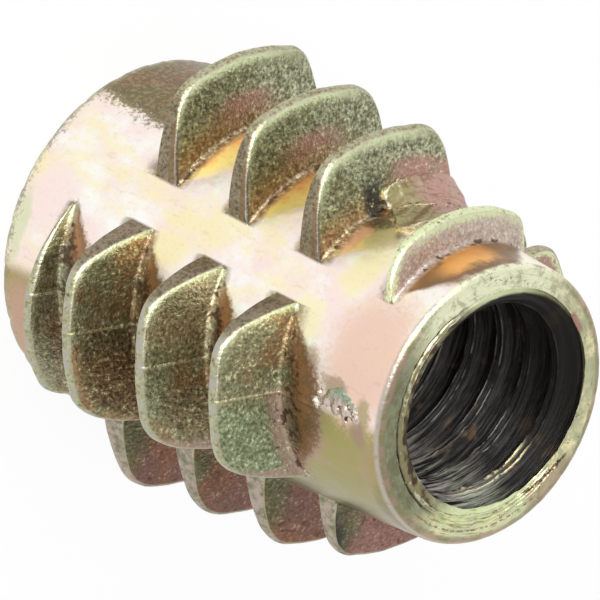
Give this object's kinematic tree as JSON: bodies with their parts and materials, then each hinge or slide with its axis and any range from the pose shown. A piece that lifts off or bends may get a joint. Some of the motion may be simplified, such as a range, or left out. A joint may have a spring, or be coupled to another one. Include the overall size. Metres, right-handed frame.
{
  "type": "threaded insert",
  "caption": "Screw-in insert for wood: a cast metal sleeve with an interrupted coarse thread outside, a machine thread right through it and a hexagonal drive socket.",
  "frame": {"origin": "centre of the wide end face, on the axis of the bore", "axes": "+Z along the bore from the wide end to the pilot end; +Y through the first fin of the wood thread; the parting plane of the casting is the XZ plane"},
  "size_m": [0.0115, 0.0115, 0.013],
  "materials": {
    "passivated_zinc": "zinc die casting with a yellow chromate film that shows pink, gold and green; fine grain on the flanks of the thread, smooth and shiny between them"
  },
  "bodies": {
    "root": {"insert_body": "passivated_zinc"}
  },
  "joints": []
}
